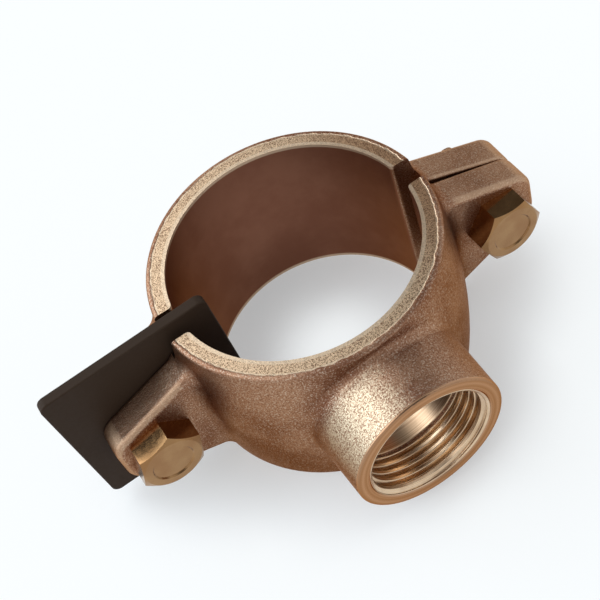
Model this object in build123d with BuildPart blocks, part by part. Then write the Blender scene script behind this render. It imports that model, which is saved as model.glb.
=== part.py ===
from build123d import *
from math import asin, cos, degrees, hypot, radians, sin, sqrt, tan
import os

# Tapping saddle for a plastic water pipe: a cast front half with a threaded
# outlet, a cast rear strap, two bolts and a flat rubber sealing pad. The pad is
# parked on the left bolt between the lugs, where it holds the two halves apart
# on that side, so the strap leans on the tip of its right lug.
#
# The pipe's axis is Z, the outlet points along -Y and the lugs lie along X. The
# origin is on the pipe's axis, half way along the saddle. Millimetres.

# ---- pipe bore and ring ------------------------------------------------------
pipe_diameter = 63.0
bore_clearance = 0.25      # radial room round the pipe
rim_wall = 4.9             # at both ends of the ring
middle_wall = 6.9          # half way along, where the casting is fullest
rim_edge_radius = 1.0      # cast edge outside each rim
rim_end_radius = 1.1       # corners of the ring's ends, beside the lugs
body_rim_setback = 3.0     # ring end to the front half's joint face
strap_rim_setback = 3.6    # ring end to the strap's joint face

# ---- outlet boss -------------------------------------------------------------
boss_wall = 3.5            # round the thread, at the mouth
boss_draft = 1.5           # degrees, wider towards the ring
boss_reach = 52.1          # pipe axis to the mouth
boss_root_radius = 2.4     # fillet where the boss meets the ring
rim_land = 0.15            # wall left between that fillet and each rim's rounding
mouth_edge_radius = 0.6
thread_major_radius = 33.249 / 2   # one-inch parallel pipe thread
thread_length = 12.0
mouth_chamfer = 0.45
outlet_bore_radius = 16.0  # plain bore behind the thread

# ---- lugs --------------------------------------------------------------------
lug_tip = 62.3             # pipe axis to the end of a lug
lug_tip_half_height = 7.4
lug_root_margin = 6.7      # rim to the lug's root
lug_corner_radius = 6.0
lug_edge_radius = 1.8
lug_root_radius = 4.5      # fillet where a lug meets the ring
joint_edge_radius = 1.0    # lug edges at the joint face
lug_gap = 1.0              # width of the channel outside the rim, beside a lug
lug_relief = 0.45          # the joint face falls back this far, from tip to channel
body_joint_offset = 1.2    # pipe axis to the front half's joint face
body_lug_thickness = 9.1
strap_lug_thickness = 9.5

# ---- bolts -------------------------------------------------------------------
bolt_offset = 51.1         # pipe axis to a front lug's hole
bolt_shift = -0.45         # both bolts have been drawn this far across their holes
bolt_radius = 5.0
bolt_length = 20.0         # under the head
bolt_point = 1.0           # chamfer on the bolt's end
head_across_flats = 16.0
head_height = 6.4
head_chamfer_angle = 30.0  # degrees, on the head's corners
head_face_radius = 7.6     # inside that chamfer
head_dish_radius = 5.6     # shallow dish in the head's face
head_dish_depth = 0.35
bolt_hole_clearance = 0.5  # radial, in the front lugs
thread_clearance = 0.05    # radial, in the strap's tapped holes
left_head_turn = 17.0      # degrees that each head has stopped at
right_head_turn = -5.0

# ---- sealing pad -------------------------------------------------------------
pad_width = 46.0
pad_margin = 1.0           # ring past the pad, at each rim
pad_thickness = 3.0
pad_corner_radius = 2.2
pad_edge_radius = 0.4
pad_hole_radius = 8.0      # passes the bolt with room to spare
pad_overhang = 7.4         # past the end of the lug
pad_lift = 3.6             # pad's middle above the bolt
pad_lean = 1.5             # degrees, turned in its own plane

# ---- worked out --------------------------------------------------------------
bore_radius = pipe_diameter / 2 + bore_clearance
rim_radius = bore_radius + rim_wall
middle_radius = bore_radius + middle_wall
boss_radius = thread_major_radius + boss_wall
boss_root = boss_radius + (boss_reach - middle_radius) * tan(radians(boss_draft))
half_length = boss_root + boss_root_radius + rim_land + rim_edge_radius
saddle_length = 2 * half_length
lug_start = rim_radius + lug_gap
lug_bearing = lug_tip - joint_edge_radius    # where a lug bears, inside its rounded tip
joint_rise = lug_relief * joint_edge_radius / (lug_bearing - lug_start)
lug_root_half_height = half_length - lug_root_margin
lug_slope = (lug_root_half_height - lug_tip_half_height) / (lug_tip - rim_radius)
body_face = -body_joint_offset
body_bolt_face = body_face - body_lug_thickness
strap_tilt = asin(pad_thickness / (2 * lug_bearing))
strap_face = body_face / cos(strap_tilt) + lug_bearing * tan(strap_tilt)
strap_bolt_face = strap_face + strap_lug_thickness
bolt_hole_radius = bolt_radius + bolt_hole_clearance
tapped_radius = bolt_radius + thread_clearance
head_corner_radius = head_across_flats / 2 / cos(radians(30))
head_chamfer_drop = (head_corner_radius - head_face_radius) * tan(radians(head_chamfer_angle))
pad_height = saddle_length - 2 * pad_margin
left_bolt_x = bolt_shift - bolt_offset
right_bolt_x = bolt_shift + bolt_offset
through = 4 * lug_tip      # longer than anything that it cuts

# The ring's outside swells by an arc from rim to rim.
swell = middle_radius - rim_radius
swell_radius = (half_length ** 2 + swell ** 2) / (2 * swell)


def wall_radius(z):
    """Outside radius of the ring at height z."""
    return middle_radius - swell_radius + sqrt(swell_radius ** 2 - z ** 2)


def half_ring(face, away):
    """Half of the ring, solid to its middle. away is +1 where the rest of the ring
    lies on +Y of the joint face, and -1 where it lies on -Y."""
    with BuildSketch(Plane.XZ) as section:
        with BuildLine():
            ThreePointArc((rim_radius, -half_length), (middle_radius, 0), (rim_radius, half_length))
            Polyline(
                (rim_radius, half_length),
                (0, half_length),
                (0, -half_length),
                (rim_radius, -half_length),
            )
        make_face()
    revolve(section.sketch, axis=Axis.Z)
    split(bisect_by=Plane.XZ.offset(-face), keep=Keep.TOP if away > 0 else Keep.BOTTOM)


def lug_pair(face, away, thickness):
    """Both lugs, from the joint face to their bolt faces."""
    root = lug_root_half_height + lug_slope * rim_wall
    for side in (-1, 1):
        with BuildSketch(Plane.XZ.offset(-face)) as outline:
            with BuildLine():
                Polyline(
                    (side * bore_radius, root),
                    (side * lug_tip, lug_tip_half_height),
                    (side * lug_tip, -lug_tip_half_height),
                    (side * bore_radius, -root),
                    close=True,
                )
            make_face()
            fillet(outline.vertices().sort_by(Axis.X, reverse=side > 0)[:2], lug_corner_radius)
        extrude(outline.sketch, amount=away * thickness)


def on_ring_wall(edge):
    """True for an edge on the outside of the ring, away from its rims."""
    points = [edge @ t for t in (0.1, 0.5, 0.9)]
    return all(
        abs(point.Z) < half_length - 0.05
        and abs(hypot(point.X, point.Y) - wall_radius(point.Z)) < 0.02
        for point in points
    )


def round_lugs(part, face, bolt_face):
    """Rounds the lugs' cast edges, then fills the corners where they meet the ring."""
    bolt_faces = part.faces().filter_by(Axis.Y).filter_by(lambda f: abs(f.center().Y - bolt_face) < 0.01)
    edges = bolt_faces.edges().filter_by(lambda edge: not on_ring_wall(edge))
    fillet(edges, lug_edge_radius)
    roots = part.edges().filter_by(on_ring_wall)
    fillet(roots.filter_by(lambda edge: abs((edge @ 0.5).Y - face) > 0.05), lug_root_radius)


def cut_joint(face, away, rim_setback):
    """Cuts the joint side. The joint faces fall back from the lug tips to the ring,
    and a channel is open between each end of the ring and the lug beside it."""
    for side in (-1, 1):
        with BuildSketch(Plane.XY.offset(-saddle_length)) as spare:
            with BuildLine():
                Polyline(
                    (0, face - away * rim_setback),
                    (side * lug_start, face - away * rim_setback),
                    (side * lug_start, face - away * lug_relief),
                    (side * lug_tip, face + away * joint_rise),
                    (side * lug_tip, face + away),
                    (0, face + away),
                    close=True,
                )
            make_face()
        extrude(spare.sketch, amount=2 * saddle_length, mode=Mode.SUBTRACT)


def round_joint(part, face):
    """Rounds the edges of the lugs' joint faces, apart from those along the channels."""
    joint_faces = part.faces().filter_by(GeomType.PLANE).filter_by(
        lambda f: abs(f.normal_at().Y) > 0.99 and abs(f.center().X) > lug_start
        and abs(f.center().Y - face) < lug_relief
    )
    outer = joint_faces.edges().filter_by(lambda edge: abs((edge @ 0.5).X) > lug_start + joint_edge_radius)
    fillet(outer, joint_edge_radius)


def bore_ring(part, rim_end):
    """Bores the ring and breaks the edges of its ends and rims."""
    with BuildSketch(Plane.XY.offset(-saddle_length)) as bore:
        Circle(bore_radius)
    extrude(bore.sketch, amount=2 * saddle_length, mode=Mode.SUBTRACT)
    inner = part.edges().filter_by(Axis.Z).filter_by(lambda edge: abs((edge @ 0.5).Y - rim_end) < 0.01)
    fillet(inner.filter_by(lambda edge: abs((edge @ 0.5).X) < bore_radius), rim_end_radius)
    rims = part.edges().filter_by(lambda edge: abs(abs((edge @ 0.5).Z) - half_length) < 0.01)
    outer = rims.filter_by(lambda edge: hypot((edge @ 0.5).X, (edge @ 0.5).Y) > bore_radius + rim_wall / 2)
    fillet(outer.filter_by(GeomType.CIRCLE), rim_edge_radius)


# ---- front half --------------------------------------------------------------
with BuildPart() as saddle_body:
    half_ring(body_face, 1)
    lug_pair(body_face, 1, body_lug_thickness)
    round_lugs(saddle_body, body_face, body_bolt_face)

    # Boss, drafted towards its mouth.
    with BuildSketch(Plane.XY):
        with BuildLine():
            boss_start = -bore_radius / 2
            boss_growth = (boss_reach + boss_start) * tan(radians(boss_draft))
            Polyline(
                (0, boss_start),
                (0, -boss_reach),
                (boss_radius, -boss_reach),
                (boss_radius + boss_growth, boss_start),
                close=True,
            )
        make_face()
    revolve(axis=Axis.Y)
    fillet(saddle_body.edges(Select.LAST).filter_by(on_ring_wall), boss_root_radius)
    mouth = saddle_body.faces().sort_by(Axis.Y)[0]
    fillet(mouth.edges(), mouth_edge_radius)

    cut_joint(body_face, 1, body_rim_setback)
    round_joint(saddle_body, body_face)
    bore_ring(saddle_body, body_face - body_rim_setback)

    # Outlet: plain bore, thread bore and the chamfer at its mouth.
    with BuildSketch(Plane.XY):
        with BuildLine():
            thread_end = thread_length - boss_reach
            Polyline(
                (0, 0),
                (0, -boss_reach),
                (thread_major_radius + mouth_chamfer, -boss_reach),
                (thread_major_radius, mouth_chamfer - boss_reach),
                (thread_major_radius, thread_end),
                (outlet_bore_radius, thread_end + thread_major_radius - outlet_bore_radius),
                (outlet_bore_radius, 0),
                close=True,
            )
        make_face()
    revolve(axis=Axis.Y, mode=Mode.SUBTRACT)

    # Clearance holes for the bolts.
    with BuildSketch(Plane.XZ.offset(-through / 2)):
        with Locations((-bolt_offset, 0), (bolt_offset, 0)):
            Circle(bolt_hole_radius)
    extrude(amount=through, mode=Mode.SUBTRACT)
saddle_body.part.label = "saddle_body"

# ---- rear strap --------------------------------------------------------------
# It is made square to the axes, then leaned back on the tip of its right lug.
with BuildPart() as square_strap:
    half_ring(strap_face, -1)
    lug_pair(strap_face, -1, strap_lug_thickness)
    round_lugs(square_strap, strap_face, strap_bolt_face)
    cut_joint(strap_face, -1, strap_rim_setback)
    round_joint(square_strap, strap_face)
    bore_ring(square_strap, strap_face + strap_rim_setback)

with BuildPart() as strap:
    add(square_strap.part, rotation=(0, 0, -degrees(strap_tilt)))
    # The tapped holes lie on the bolts' own lines.
    with BuildSketch(Plane.XZ.offset(-through / 2)):
        with Locations((left_bolt_x, 0), (right_bolt_x, 0)):
            Circle(tapped_radius)
    extrude(amount=through, mode=Mode.SUBTRACT)
strap.part.label = "strap"


# ---- bolts -------------------------------------------------------------------
def hex_bolt(bolt_x, turn):
    """A hexagon bolt, seated on the front lug at bolt_x."""
    seat = Plane(origin=(bolt_x, body_bolt_face, 0), x_dir=(1, 0, 0), z_dir=(0, -1, 0))
    side_view = Plane(origin=(bolt_x, body_bolt_face, 0))
    with BuildPart() as bolt:
        with BuildSketch(seat):
            RegularPolygon(head_corner_radius, 6, rotation=turn)
        extrude(amount=head_height)
        # The corners are turned off by a cone, and the face has a shallow dish.
        with BuildSketch(side_view):
            with BuildLine():
                Polyline(
                    (head_face_radius, -head_height),
                    (head_corner_radius, head_chamfer_drop - head_height),
                    (head_corner_radius, -head_height - head_chamfer_drop),
                    (head_face_radius, -head_height - head_chamfer_drop),
                    close=True,
                )
            make_face()
        revolve(axis=Axis((bolt_x, 0, 0), (0, 1, 0)), mode=Mode.SUBTRACT)
        with BuildSketch(seat.offset(head_height)):
            Circle(head_dish_radius)
        extrude(amount=-head_dish_depth, taper=45, mode=Mode.SUBTRACT)
        with BuildSketch(seat):
            Circle(bolt_radius)
        extrude(amount=-bolt_length)
        chamfer(bolt.faces().sort_by(Axis.Y)[-1].edges(), bolt_point)
    return bolt


left_bolt = hex_bolt(left_bolt_x, left_head_turn)
left_bolt.part.label = "left_bolt"

right_bolt = hex_bolt(right_bolt_x, right_head_turn)
right_bolt.part.label = "right_bolt"

# ---- sealing pad -------------------------------------------------------------
# It bears on both left lugs at their tips, and leans half as much as the strap.
pad_tilt = strap_tilt / 2
pad_middle = pad_width / 2 - pad_overhang - joint_edge_radius
pad_plane = Plane(
    origin=(-lug_bearing, body_face, 0),
    x_dir=(cos(pad_tilt), -sin(pad_tilt), 0),
    z_dir=(-sin(pad_tilt), -cos(pad_tilt), 0),
)

with BuildPart() as sealing_pad:
    with BuildSketch(pad_plane):
        with Locations(Location((pad_middle, pad_lift, 0), (0, 0, 1), pad_lean)):
            RectangleRounded(pad_width, pad_height, pad_corner_radius)
        with Locations((left_bolt_x + lug_bearing, 0)):
            Circle(pad_hole_radius, mode=Mode.SUBTRACT)
    extrude(amount=-pad_thickness)
    broad_faces = sealing_pad.faces().sort_by(SortBy.AREA)[-2:]
    fillet([edge for face in broad_faces for edge in face.outer_wire().edges()], pad_edge_radius)
sealing_pad.part.label = "sealing_pad"

# ---- output ------------------------------------------------------------------
os.makedirs("parts", exist_ok=True)
for piece in (saddle_body, strap, left_bolt, right_bolt, sealing_pad):
    export_step(piece.part, f"parts/{piece.part.label}.step")
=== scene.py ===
import math

import bmesh
import bpy
from mathutils import Matrix, Vector

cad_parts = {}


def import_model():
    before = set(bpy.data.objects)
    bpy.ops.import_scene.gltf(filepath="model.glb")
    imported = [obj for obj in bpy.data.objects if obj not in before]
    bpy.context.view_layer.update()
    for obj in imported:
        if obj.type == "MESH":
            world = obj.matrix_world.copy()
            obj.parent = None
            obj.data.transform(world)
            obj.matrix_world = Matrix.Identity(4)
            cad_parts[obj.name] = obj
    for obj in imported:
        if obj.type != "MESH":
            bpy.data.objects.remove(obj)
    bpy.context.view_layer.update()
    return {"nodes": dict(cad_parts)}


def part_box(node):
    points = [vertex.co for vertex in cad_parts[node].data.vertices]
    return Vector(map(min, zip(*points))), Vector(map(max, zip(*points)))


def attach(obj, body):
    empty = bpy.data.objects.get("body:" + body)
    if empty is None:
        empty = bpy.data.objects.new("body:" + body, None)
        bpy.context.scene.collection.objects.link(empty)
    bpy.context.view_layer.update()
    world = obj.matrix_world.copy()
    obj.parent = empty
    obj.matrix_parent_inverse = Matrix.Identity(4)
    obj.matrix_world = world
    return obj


# Looks of the tapping saddle: gunmetal castings, ground on their rims and machined in
# the outlet, with two brass bolts and a rubber pad, on a white floor. The pipe's axis
# is Z, the outlet points along -Y and the lugs lie along X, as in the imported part.
# Lengths are in metres.

MM = 0.001

# ---- sizes ------------------------------------------------------------------------
PITCH = 25.4 * MM / 11            # one-inch parallel pipe thread
THREAD_MAJOR = 33.249 * MM / 2    # radius at the grooves' floor
THREAD_MINOR = 30.291 * MM / 2    # radius at the crests
THREAD_LENGTH = 12.0 * MM
OUTLET_BORE = 16.0 * MM           # radius of the plain bore behind the thread
PIPE_BORE = 31.75 * MM            # radius of the bore that closes round the pipe
GROUND_RADIUS = 35.45 * MM        # the rims are ground flat out to here
LUG_START = 41.0 * MM             # the lugs have left the ring's curve by here

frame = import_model()
body_low, body_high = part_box("saddle_body")
floor_z = body_low.z
mouth_y = body_low.y
rim_z = body_high.z

# ---- colours ----------------------------------------------------------------------
CAST_DARK = (0.20, 0.085, 0.048)
CAST_LIGHT = (0.37, 0.205, 0.125)
CAST_SPARK = (0.86, 0.78, 0.64)      # tops of the sand grains
# dark pits in the sand, and the painted shade on the tops of the lugs
CAST_PIT_AND_SHADE = (0.11, 0.045, 0.025)
CAST_EDGE_HIGHLIGHT = (0.62, 0.43, 0.28)       # painted highlight on the rounded edges of the lugs
CAST_BOSS_HIGHLIGHT = (0.64, 0.52, 0.36)     # painted highlight on the grains of the boss's upper left
CAST_GRAZED = (0.72, 0.46, 0.32)     # tint of a casting seen at a grazing angle
BORE_DARK = (0.20, 0.085, 0.055)
BORE_LIGHT = (0.30, 0.145, 0.095)
GROUND = (0.84, 0.62, 0.41)
GROUND_SHADED = (0.58, 0.36, 0.21)    # painted shade on the right of the rims
GROUND_PIT = (0.16, 0.075, 0.04)
GROUND_EDGE = (0.86, 0.69, 0.50)
MOUTH_DARK = (0.36, 0.195, 0.105)
MOUTH_LIGHT = (0.46, 0.27, 0.16)
DRILLED_DARK = (0.42, 0.26, 0.155)
MACHINED = (0.66, 0.47, 0.30)
MACHINED_LIGHT = (0.74, 0.57, 0.40)
BRASS = (0.29, 0.148, 0.062)
BRASS_LIGHT = (0.35, 0.20, 0.09)
RUBBER = (0.032, 0.019, 0.0115)
RUBBER_LIGHT = (0.043, 0.027, 0.018)
FLOOR_PAINT = (0.95, 0.95, 0.95)
FLOOR_GLOW = (0.96, 0.99, 1.0)
DOME_COLOUR = (0.95, 0.975, 1.0)
WHITE = (1.0, 1.0, 1.0)

# ---- light ------------------------------------------------------------------------
DOME_LEVEL = 0.88
DARK_LEVEL = 0.14
DARK_BEHIND = (0.42, 0.49, 0.76)     # overhead, beyond the right lug
DARK_BEFORE = (-0.10, -0.60, 0.79)   # overhead, on the outlet's side

# ---- helpers ----------------------------------------------------------------------
NOISE_SPAN = (0.3, 0.7)              # nearly all of a noise lies between these
BORDER = 0.2 * MM                    # width over which one finish turns into another


def mesh_object(name, verts, faces, smooth=True):
    mesh = bpy.data.meshes.new(name)
    mesh.from_pydata(verts, [], faces)
    mesh.validate()
    mesh.update()
    obj = bpy.data.objects.new(name, mesh)
    bpy.context.scene.collection.objects.link(obj)
    for poly in mesh.polygons:
        poly.use_smooth = smooth
    return obj


class Nodes:
    """Short calls that build the node tree of a material or of the world.

    A value is a socket, a plain number or a colour, and a result is a socket.
    """

    def __init__(self, owner, output="ShaderNodeOutputMaterial", coords="Object"):
        self.owner = owner
        owner.use_nodes = True
        self.tree = owner.node_tree
        self.tree.nodes.clear()
        self.output = self.add(output)
        self.coords = self.add("ShaderNodeTexCoord").outputs[coords]

    def add(self, kind, **settings):
        node = self.tree.nodes.new(kind)
        for key, value in settings.items():
            setattr(node, key, value)
        return node

    def link(self, source, target):
        self.tree.links.new(source, target)

    def put(self, socket, value):
        """Links value to socket, or sets it if it is a plain number, vector or colour."""
        if isinstance(value, bpy.types.NodeSocket):
            self.link(value, socket)
        elif socket.type == "RGBA":
            socket.default_value = (*value, 1.0)
        else:
            socket.default_value = value

    def math(self, operation, *values):
        node = self.add("ShaderNodeMath", operation=operation)
        for socket, value in zip(node.inputs, values):
            self.put(socket, value)
        return node.outputs[0]

    def size(self, value):
        return self.math("ABSOLUTE", value)

    def times(self, *values):
        product = values[0]
        for value in values[1:]:
            product = self.math("MULTIPLY", product, value)
        return product

    def total(self, *terms):
        """Adds up terms, each a value and its weight."""
        weighed = [self.times(value, weight) for value, weight in terms]
        total = weighed[0]
        for value in weighed[1:]:
            total = self.math("ADD", total, value)
        return total

    def most(self, *values):
        most = values[0]
        for value in values[1:]:
            most = self.math("MAXIMUM", most, value)
        return most

    def invert(self, value):
        """What value leaves of 1."""
        return self.math("SUBTRACT", 1.0, value)

    def shaken(self, value, noise, reach):
        """Value, moved up or down by the noise, half of reach each way."""
        return self.math("ADD", value, self.times(self.math("SUBTRACT", noise, 0.5), reach))

    def distance(self, a, b):
        """How far a point is from an axis, from its two coordinates across that axis."""
        return self.math("SQRT", self.total((a, a), (b, b)))

    def xyz(self, vector):
        node = self.add("ShaderNodeSeparateXYZ")
        self.link(vector, node.inputs[0])
        return node.outputs

    def normal(self):
        return self.add("ShaderNodeNewGeometry").outputs["Normal"]

    def unit(self, vector):
        node = self.add("ShaderNodeVectorMath", operation="NORMALIZE")
        self.link(vector, node.inputs[0])
        return node.outputs["Vector"]

    def facing(self, vector, way):
        """How far vector points along way: their dot product."""
        node = self.add("ShaderNodeVectorMath", operation="DOT_PRODUCT")
        self.link(vector, node.inputs[0])
        self.put(node.inputs[1], way)
        return node.outputs["Value"]

    def noise(self, scale, detail=2.0, roughness=0.5, coords=None):
        """Noise whose grains are about 1 / scale metres across."""
        node = self.add("ShaderNodeTexNoise")
        self.link(coords or self.coords, node.inputs["Vector"])
        self.put(node.inputs["Scale"], scale)
        self.put(node.inputs["Detail"], detail)
        self.put(node.inputs["Roughness"], roughness)
        return node.outputs["Fac"]

    def turned_rings(self, scale, radius, along):
        """Noise in rings round the outlet's axis, like the marks of a lathe tool."""
        node = self.add("ShaderNodeCombineXYZ")
        self.link(radius, node.inputs[0])
        self.link(along, node.inputs[1])
        return self.noise(scale, 1.0, 0.5, node.outputs[0])

    def ramp(self, value, low, high, bottom=0.0, top=1.0):
        """Goes smoothly from bottom to top while value goes from low to high."""
        node = self.add("ShaderNodeMapRange", interpolation_type="SMOOTHSTEP")
        for name, setting in (("Value", value), ("From Min", low), ("From Max", high),
                              ("To Min", bottom), ("To Max", top)):
            self.put(node.inputs[name], setting)
        return node.outputs["Result"]

    def above(self, value, border, width=BORDER):
        """1 where value is above the border, 0 below it."""
        return self.ramp(value, border - width / 2, border + width / 2)

    def below(self, value, border, width=BORDER):
        """1 where value is below the border, 0 above it."""
        return self.ramp(value, border + width / 2, border - width / 2)

    def mix(self, factor, a, b):
        """Colour a where factor is 0, and b where it is 1."""
        node = self.add("ShaderNodeMix", data_type="RGBA")
        self.put(node.inputs["Factor"], factor)
        self.put(node.inputs[6], a)
        self.put(node.inputs[7], b)
        return node.outputs[2]

    def mottle(self, noise, a, b):
        """Colour a where the noise is low, and b where it is high."""
        return self.mix(self.ramp(noise, *NOISE_SPAN), a, b)

    def lerp(self, factor, a, b):
        """Number a where factor is 0, and b where it is 1."""
        node = self.add("ShaderNodeMix", data_type="FLOAT")
        self.put(node.inputs["Factor"], factor)
        self.put(node.inputs[2], a)
        self.put(node.inputs[3], b)
        return node.outputs[0]

    def bump(self, height, distance, strength=1.0):
        node = self.add("ShaderNodeBump")
        self.put(node.inputs["Height"], height)
        self.put(node.inputs["Distance"], distance)
        self.put(node.inputs["Strength"], strength)
        return node.outputs["Normal"]

    def shader(self, colour, metallic, roughness, normal=None):
        """Gives the material a principled shader, whose node it gives back."""
        node = self.add("ShaderNodeBsdfPrincipled")
        self.put(node.inputs["Base Color"], colour)
        self.put(node.inputs["Metallic"], metallic)
        self.put(node.inputs["Roughness"], roughness)
        if normal is not None:
            self.link(normal, node.inputs["Normal"])
        self.link(node.outputs[0], self.output.inputs["Surface"])
        return node

    def blend_shaders(self, factor, a, b):
        """Gives the output shader node a where factor is 0, and b where it is 1."""
        node = self.add("ShaderNodeMixShader")
        self.put(node.inputs[0], factor)
        self.link(a.outputs[0], node.inputs[1])
        self.link(b.outputs[0], node.inputs[2])
        self.link(node.outputs[0], self.output.inputs["Surface"])


# ---- materials --------------------------------------------------------------------
def casting_material():
    """Sand-cast gunmetal with ground rims, a turned mouth and two bores."""
    n = Nodes(bpy.data.materials.new("cast_gunmetal"))
    x, y, z = n.xyz(n.coords)
    normal = n.normal()
    nx, ny, nz = n.xyz(normal)
    sand = n.noise(2600, 3.0, 0.65)
    grit = n.noise(5200, 1.0, 0.5)
    lumps = n.noise(420, 3.0, 0.55)
    patches = n.noise(55, 4.0, 0.6)
    height = n.size(z)
    sideways = n.size(x)
    level = n.size(nz)
    from_pipe = n.distance(x, y)
    from_outlet = n.distance(x, z)
    rings = n.turned_rings(2200, from_outlet, y)

    # Masks, each 1 where its finish is: the ground rims, with a ragged outer border and
    # bright edges, the mouth's face, the pipe's bore and the plain bore of the outlet.
    rim = n.times(n.above(height, rim_z - 0.15 * MM), n.ramp(level, 0.9, 0.97))
    rim = n.times(rim, n.below(n.shaken(from_pipe, lumps, 1.2 * MM), GROUND_RADIUS, 0.24 * MM))
    inner_edge = n.times(n.above(height, rim_z - 0.9 * MM, 0.4 * MM),
                         n.below(from_pipe, PIPE_BORE + 0.95 * MM))
    outer_edge = n.times(n.above(from_pipe, GROUND_RADIUS - 0.35 * MM), rim)
    mouth = n.below(y, mouth_y + 0.675 * MM, 0.15 * MM)
    in_bore = n.times(n.below(from_pipe, PIPE_BORE + 0.2 * MM), n.ramp(level, 0.5, 0.3))
    drilled = n.times(n.below(from_outlet, OUTLET_BORE + 0.2 * MM), n.below(y, -25 * MM, 2 * MM))
    drilled = n.times(drilled, n.invert(in_bore))

    # The cast skin, with bright grains and dark pits, and painted shade on the tops of the
    # lugs, deeper on the left, where the pad shades them.
    tone = n.ramp(patches, 0.32, 0.68)
    cast = n.mix(tone, CAST_DARK, CAST_LIGHT)
    cast = n.mix(n.ramp(sand, 0.52, 0.66, top=0.36), cast, CAST_SPARK)
    cast = n.mix(n.ramp(sand, 0.48, 0.34, top=0.6), cast, CAST_PIT_AND_SHADE)
    lug_top_shade = n.times(n.above(sideways, LUG_START + 2 * MM, 4 * MM), n.ramp(nz, 0.7, 0.95))
    cast = n.mix(n.times(lug_top_shade, n.ramp(x, -1 * MM, 1 * MM, 0.45, 0.15)), cast, CAST_PIT_AND_SHADE)

    # Painted highlight on the grains near the mouth, where the boss faces up and to the left.
    boss_highlight = n.shaken(n.facing(normal, (-0.64, 0.0, 0.77)), lumps, 0.25)
    boss_highlight = n.times(n.ramp(boss_highlight, 0.74, 0.97), n.below(y, mouth_y + 14.1 * MM, 6 * MM))
    cast = n.mix(n.times(boss_highlight, n.ramp(sand, 0.40, 0.56, 0.15, 0.85)), cast, CAST_BOSS_HIGHLIGHT)

    # Painted highlight on the lugs' rounded edges, which face along no axis.
    steepest = n.most(n.size(nx), n.size(ny), level)
    lug_edge_highlight = n.times(n.above(sideways, LUG_START - 1 * MM, 2 * MM), n.ramp(steepest, 0.97, 0.86))
    cast = n.mix(n.times(lug_edge_highlight, 0.45), cast, CAST_EDGE_HIGHLIGHT)

    # The other finishes, over the cast skin.
    wall = n.mix(n.times(tone, 0.5), BORE_DARK, BORE_LIGHT)
    # Painted shade: the ground rims turn browner and darker towards the right, away from the key light.
    ground_with_shade = n.mix(n.above(x, 24 * MM, 20 * MM), GROUND, GROUND_SHADED)
    ground = n.mix(n.ramp(n.total((sand, 0.6), (grit, 0.4)), 0.46, 0.60), ground_with_shade, GROUND_PIT)
    colour = n.mix(in_bore, cast, wall)
    colour = n.mix(rim, colour, ground)
    colour = n.mix(n.times(n.most(inner_edge, outer_edge), 0.6), colour, GROUND_EDGE)
    colour = n.mix(drilled, colour, n.mottle(rings, DRILLED_DARK, MACHINED))
    colour = n.mix(mouth, colour, n.mottle(rings, MOUTH_DARK, MOUTH_LIGHT))

    roughness = n.ramp(sand, 0.35, 0.65, 0.42, 0.30)
    for finish, own_roughness in ((in_bore, 0.42), (rim, 0.28), (drilled, 0.32), (mouth, 0.22)):
        roughness = n.lerp(finish, roughness, own_roughness)
    smoothed = n.most(mouth, drilled, n.times(rim, 0.6), n.times(in_bore, 0.75))
    relief = n.times(n.total((sand, 0.8), (grit, 0.35), (lumps, 0.9)), n.invert(smoothed))
    shader = n.shader(colour, 1.0, roughness, n.bump(relief, 0.11 * MM))
    n.put(shader.inputs["Specular Tint"], CAST_GRAZED)
    return n.owner


def machined_material():
    """Gunmetal cut on a lathe, inside the outlet."""
    n = Nodes(bpy.data.materials.new("machined_gunmetal"))
    x, y, z = n.xyz(n.coords)
    rings = n.turned_rings(5200, n.distance(x, z), y)
    cloud = n.noise(240)
    colour = n.mottle(rings, MACHINED, MACHINED_LIGHT)
    colour = n.mix(n.ramp(cloud, 0.35, 0.7, top=0.4), colour, DRILLED_DARK)
    n.shader(colour, 1.0, n.ramp(rings, *NOISE_SPAN, 0.22, 0.32))
    return n.owner


def bolt_material():
    """Smooth yellow brass, faintly clouded."""
    n = Nodes(bpy.data.materials.new("yellow_brass"))
    fine = n.noise(700, 3.0, 0.6)
    cloud = n.noise(160, 3.0)
    colour = n.mottle(cloud, BRASS, BRASS_LIGHT)
    n.shader(colour, 1.0, n.ramp(fine, *NOISE_SPAN, 0.15, 0.24), n.bump(fine, 0.02 * MM, 0.2))
    return n.owner


def rubber_material():
    """Dull black rubber with a brown cast."""
    n = Nodes(bpy.data.materials.new("black_rubber"))
    fine = n.noise(1400)
    cloud = n.noise(60)
    colour = n.mix(cloud, RUBBER, RUBBER_LIGHT)
    shader = n.shader(colour, 0.0, n.ramp(fine, *NOISE_SPAN, 0.5, 0.6), n.bump(fine, 0.02 * MM, 0.5))
    shader.inputs["Specular IOR Level"].default_value = 0.08
    return n.owner


def floor_material():
    """White paint. Much of what the camera and the metal see of it is plain white, and
    less close to the object, so the shadow stays."""
    n = Nodes(bpy.data.materials.new("white_floor"))
    paint = n.add("ShaderNodeBsdfDiffuse")
    n.put(paint.inputs["Color"], FLOOR_PAINT)
    glow = n.add("ShaderNodeEmission")
    n.put(glow.inputs["Color"], FLOOR_GLOW)
    rays = n.add("ShaderNodeLightPath").outputs
    seen = n.most(rays["Is Camera Ray"], rays["Is Glossy Ray"], rays["Is Transmission Ray"])
    openness = n.add("ShaderNodeAmbientOcclusion", samples=12)
    n.put(openness.inputs["Distance"], 30 * MM)
    share = n.ramp(openness.outputs["AO"], 0.55, 0.97, 0.36, 0.86)
    n.blend_shaders(n.times(seen, share), paint, glow)
    return n.owner


CASTING = casting_material()
MACHINED_METAL = machined_material()
BOLT = bolt_material()
RUBBER_PAD = rubber_material()


def dress(obj, material):
    """Gives one of the part's own pieces its material, as its only material slot."""
    obj.data.materials.clear()
    obj.data.materials.append(material)


nodes = frame["nodes"]
for name in ("saddle_body", "strap"):
    dress(nodes[name], CASTING)
for name in ("left_bolt", "right_bolt"):
    dress(nodes[name], BOLT)
dress(nodes["sealing_pad"], RUBBER_PAD)


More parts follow.
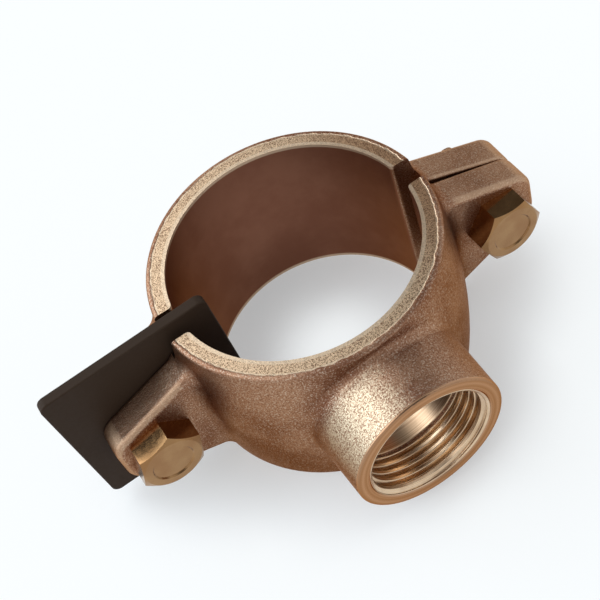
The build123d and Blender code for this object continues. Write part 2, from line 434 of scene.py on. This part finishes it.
# ---- pieces -----------------------------------------------------------------------
def thread_ring():
    """The outlet's right-hand thread: a sleeve lining the boss, with its ridges inside."""
    around = 144
    rows_a_turn = 24
    setback = 0.15 * MM            # from the mouth to the sleeve's end
    skin = 0.03 * MM               # the sleeve reaches this far each side of the major radius
    root_share = 0.10              # of half a turn, flat at the groove's floor
    flank_share = 0.54             # of half a turn, from there to the crest
    first_ridge = 0.4              # share of the full depth that the thread starts with
    lead_in = 1.3 * PITCH          # and grows from, over this length
    run_out = 0.6 * PITCH          # the inner end tapers off over this length
    steepest_rise = 1.5            # a ridge's height, at most, for its distance from the mouth
    depth = THREAD_MAJOR - THREAD_MINOR
    length = THREAD_LENGTH - setback
    rows = round(THREAD_LENGTH / PITCH * rows_a_turn)

    def ring(radius_at, along):
        """One row of points round the outlet's axis, along metres from the sleeve's end."""
        for step in range(around):
            turn = step / around
            angle = 2 * math.pi * turn
            radius = radius_at(along, turn)
            yield (radius * math.cos(angle), mouth_y + setback + along, radius * math.sin(angle))

    def ridged(along, turn):
        phase = (along / PITCH - turn + 0.5) % 1.0
        ridge = 1.0 - abs(2.0 * phase - 1.0)
        ridge = min(max((ridge - root_share) / flank_share, 0.0), 1.0)
        tapered = min(1.0, (THREAD_LENGTH - along) / run_out)
        grown = first_ridge + (1.0 - first_ridge) * min(1.0, along / lead_in)
        return THREAD_MAJOR - skin - min(depth * ridge * grown * tapered, steepest_rise * along)

    def plain(along, turn):
        return THREAD_MAJOR + skin

    verts = []
    for row in range(rows + 1):
        verts.extend(ring(ridged, row / rows * length))
    verts.extend(ring(plain, length))
    verts.extend(ring(plain, 0.0))
    faces = []
    ring_count = rows + 3
    for row in range(ring_count):
        here = row * around
        there = (row + 1) % ring_count * around
        for step in range(around):
            after = (step + 1) % around
            faces.append((here + step, here + after, there + after, there + step))
    return mesh_object("outlet_thread", verts, faces)


def casting_nub():
    """The stub of a feeder left on the strap's right lug: a small uneven lump."""
    middle = Vector((49.8, 8.9, 10.2)) * MM
    half_size = Vector((1.7, 0.6, 1.0)) * MM
    unevenness = 0.12
    ball = bmesh.new()
    bmesh.ops.create_uvsphere(ball, u_segments=18, v_segments=9, radius=1.0)
    ball.verts.index_update()
    verts = []
    for vert in ball.verts:
        turn = math.atan2(vert.co.y, vert.co.x)
        down = vert.co.angle(Vector((0, 0, 1)))
        swell = 1.0 + unevenness * math.sin(3 * turn + 2 * down)
        verts.append(middle + half_size * vert.co * Vector((swell, swell, 1.0)))
    faces = [[vert.index for vert in face.verts] for face in ball.faces]
    ball.free()
    return mesh_object("casting_nub", verts, faces)


thread = thread_ring()
thread.data.materials.append(MACHINED_METAL)
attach(thread, "root")
nub = casting_nub()
nub.data.materials.append(CASTING)
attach(nub, "root")


# ---- floor, camera and light ------------------------------------------------------
def floor():
    """A flat square floor that the saddle stands on."""
    reach = 3.0
    corners = [(-reach, -reach, floor_z), (reach, -reach, floor_z),
               (reach, reach, floor_z), (-reach, reach, floor_z)]
    obj = mesh_object("floor", corners, [(0, 1, 2, 3)], smooth=False)
    obj.data.materials.append(floor_material())


def camera():
    """A camera on the outlet's side, looking steeply down and rolled to its right."""
    place = Vector((-41.355, -173.019, 240.526)) * MM
    heading = math.radians(-12.456)     # from +Y, anticlockwise seen from above
    tilt = math.radians(36.823)         # up from straight down
    roll = math.radians(-23.807)
    data = bpy.data.cameras.new("camera")
    data.sensor_width = 36.0
    data.lens = 70.25
    data.clip_start = 0.01
    data.clip_end = 20.0
    obj = bpy.data.objects.new("camera", data)
    bpy.context.scene.collection.objects.link(obj)
    turn = Matrix.Rotation(heading, 4, "Z") @ Matrix.Rotation(tilt, 4, "X") @ Matrix.Rotation(roll, 4, "Z")
    obj.matrix_world = Matrix.Translation(place) @ turn
    bpy.context.scene.camera = obj


def sun(name, source, spread, strength, colour=WHITE):
    """A distant softbox: source is the direction that it shines from, spread its width in degrees."""
    data = bpy.data.lights.new(name, "SUN")
    data.angle = math.radians(spread)
    data.energy = strength
    data.color = colour
    obj = bpy.data.objects.new(name, data)
    bpy.context.scene.collection.objects.link(obj)
    obj.rotation_mode = "QUATERNION"
    obj.rotation_quaternion = Vector(source).to_track_quat("Z", "Y")


def world():
    """A pale dome with two darker patches overhead. The camera sees it as plain white."""
    studio = bpy.data.worlds.new("studio")
    bpy.context.scene.world = studio
    n = Nodes(studio, "ShaderNodeOutputWorld", "Generated")
    sky = n.unit(n.coords)
    behind = n.ramp(n.facing(sky, Vector(DARK_BEHIND).normalized()), 0.85, 0.985)
    before = n.ramp(n.facing(sky, Vector(DARK_BEFORE).normalized()), 0.80, 0.96)
    dome = n.add("ShaderNodeBackground")
    n.put(dome.inputs["Color"], DOME_COLOUR)
    n.put(dome.inputs["Strength"], n.lerp(n.most(behind, before), DOME_LEVEL, DARK_LEVEL))
    white = n.add("ShaderNodeBackground")
    n.put(white.inputs["Color"], WHITE)
    rays = n.add("ShaderNodeLightPath").outputs
    n.blend_shaders(rays["Is Camera Ray"], dome, white)


floor()
camera()
world()
sun("key", (-0.68, 0.50, 0.54), 60, 1.75, (0.84, 1.0, 1.14))
sun("back", (-0.25, 0.75, 0.61), 50, 0.45)
sun("front", (-0.55, -0.40, 0.73), 36, 0.38)
bpy.context.scene.view_settings.view_transform = "Standard"
